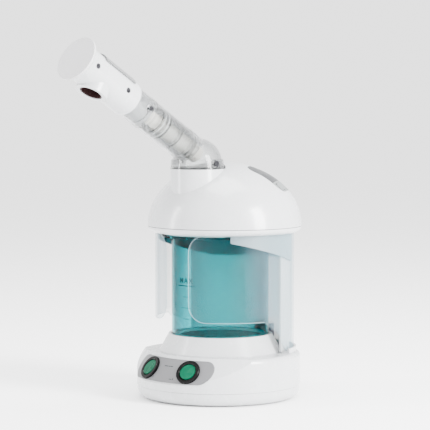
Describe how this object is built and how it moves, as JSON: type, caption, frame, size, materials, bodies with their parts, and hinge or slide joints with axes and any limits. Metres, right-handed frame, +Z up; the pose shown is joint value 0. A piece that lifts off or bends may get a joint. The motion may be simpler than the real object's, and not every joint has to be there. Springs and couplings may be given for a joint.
{
  "type": "facial steamer",
  "caption": "Table-top facial steamer: heated round base, clear tank under a domed head with a frosted shroud, and a tilting telescopic arm with a spinning steam nozzle.",
  "frame": {"origin": "centre of the round base on the surface it stands on", "axes": "+Z up, -Y the front, where the switches are and where the arm points at rest"},
  "size_m": [0.18, 0.3164, 0.3917],
  "materials": {
    "white_gloss": "glossy white moulded ABS",
    "white_cap": "satin white moulding",
    "panel_grey": "satin grey moulding",
    "black_gloss": "glossy black moulding",
    "lens_green": "translucent green rocker",
    "brass": "tinned blade",
    "rubber_dark": "matt rubber",
    "silicone": "pale silicone seal",
    "steel": "zinc-plated steel",
    "stainless": "brushed stainless plate",
    "cast_aluminium": "cast heater block",
    "element": "sheathed heating element",
    "bakelite": "phenolic moulding",
    "fuse": "ceramic fuse body",
    "circuit_board": "solder-masked board",
    "component": "moulded component",
    "tank_teal": "clear teal tinted tank",
    "shroud_frost": "lightly frosted clear sheet",
    "guard_tint": "smoky clear sheet",
    "clear": "clear moulded polycarbonate",
    "pipe_cream": "cream silicone pipe",
    "grip_grey": "satin grey inlay",
    "latch_grey": "pale grey button",
    "lamp_glass": "quartz lamp envelope",
    "window_smoke": "smoky clear window",
    "outlet_brown": "dark brown outlet liner",
    "wire": "insulated wire"
  },
  "bodies": {
    "base": {"base_tray": "white_gloss", "base_housing": "white_gloss", "tank_collar": "white_gloss", "control_panel": "panel_grey", "switch_housing_left": "black_gloss", "switch_housing_right": "black_gloss", "switch_terminals_left": "brass", "switch_terminals_right": "brass", "rubber_feet": "rubber_dark", "tray_screws": "steel", "heater_plate": "cast_aluminium", "heating_element": "element", "thermostat": "bakelite", "thermal_fuse": "fuse", "control_board": "circuit_board", "board_standoffs": "white_gloss", "relay_and_transformer": "component", "terminal_block": "fuse", "cord_gland": "rubber_dark", "base_connector": "component"},
    "switch_left": {"switch_rocker_left": "lens_green"},
    "switch_right": {"switch_rocker_right": "lens_green"},
    "tank": {"tank_shell": "tank_teal", "tank_rim": "tank_teal", "tank_seal": "silicone", "tank_base_plate": "stainless"},
    "head": {"dome_shell": "white_gloss", "dome_ring": "white_gloss", "head_floor": "white_gloss", "head_screws": "steel", "tank_gasket": "silicone", "shroud": "shroud_frost", "inner_guard_left": "guard_tint", "inner_guard_right": "guard_tint", "head_skirt": "white_gloss", "back_column": "white_gloss", "head_connector": "component", "lamp_wires": "wire", "steam_duct": "white_gloss", "ozone_lamp": "lamp_glass", "lamp_holders": "fuse", "lamp_ballast": "component", "grip_inlay_left": "grip_grey", "grip_inlay_right": "grip_grey", "swivel_bush": "white_gloss"},
    "latch_left": {"latch_button_left": "latch_grey"},
    "latch_right": {"latch_button_right": "latch_grey"},
    "swivel": {"swivel_cup": "clear", "swivel_clip": "steel", "pivot_screws": "steel"},
    "arm": {"elbow_ball": "clear", "inner_tube": "clear", "tube_seals": "silicone", "steam_pipe": "pipe_cream", "pipe_spacers": "clear"},
    "sleeve": {"outer_tube": "clear", "tube_lock_screw": "steel"},
    "nozzle": {"nozzle_shell_left": "white_gloss", "nozzle_shell_right": "white_gloss", "nozzle_cap": "white_cap", "nozzle_window": "window_smoke", "nozzle_screws": "steel", "outlet_liner": "outlet_brown", "nozzle_pipe": "pipe_cream"}
  },
  "joints": [
    {"name": "tank_lift", "type": "slide", "parent": "base", "child": "tank", "axis": [0, 0, 1], "range_m": [0, 0.06]},
    {"name": "head_lift", "type": "slide", "parent": "tank", "child": "head", "axis": [0, 0, 1], "range_m": [0, 0.14]},
    {"name": "switch_left_rock", "type": "hinge", "parent": "base", "child": "switch_left", "pos_m": [-0.0284, -0.07482, 0.03515], "axis": [0.9707, -0.2401, 0], "range_deg": [0, 12]},
    {"name": "switch_right_rock", "type": "hinge", "parent": "base", "child": "switch_right", "pos_m": [0.0284, -0.07482, 0.03515], "axis": [0.9707, 0.2401, 0], "range_deg": [0, 12]},
    {"name": "latch_left_press", "type": "slide", "parent": "head", "child": "latch_left", "axis": [0.4569, -0.2855, -0.8424], "range_m": [0, 0.0025], "stiffness_N_per_m": 400, "springref_m": -0.002},
    {"name": "latch_right_press", "type": "slide", "parent": "head", "child": "latch_right", "axis": [-0.4569, -0.2855, -0.8424], "range_m": [0, 0.0025], "stiffness_N_per_m": 400, "springref_m": -0.002},
    {"name": "elbow_swivel", "type": "hinge", "parent": "head", "child": "swivel", "pos_m": [0, -0.0333, 0.2325], "axis": [0, 0, 1], "continuous": true},
    {"name": "arm_tilt", "type": "hinge", "parent": "swivel", "child": "arm", "pos_m": [0, -0.0333, 0.2586], "axis": [-1, 0, 0], "range_deg": [0, 45]},
    {"name": "tube_extend", "type": "slide", "parent": "arm", "child": "sleeve", "axis": [0, -0.8616, 0.5075], "range_m": [0, 0.035]},
    {"name": "nozzle_spin", "type": "hinge", "parent": "sleeve", "child": "nozzle", "pos_m": [0, -0.13664, 0.32748], "axis": [0, -0.8616, 0.5075], "continuous": true}
  ]
}
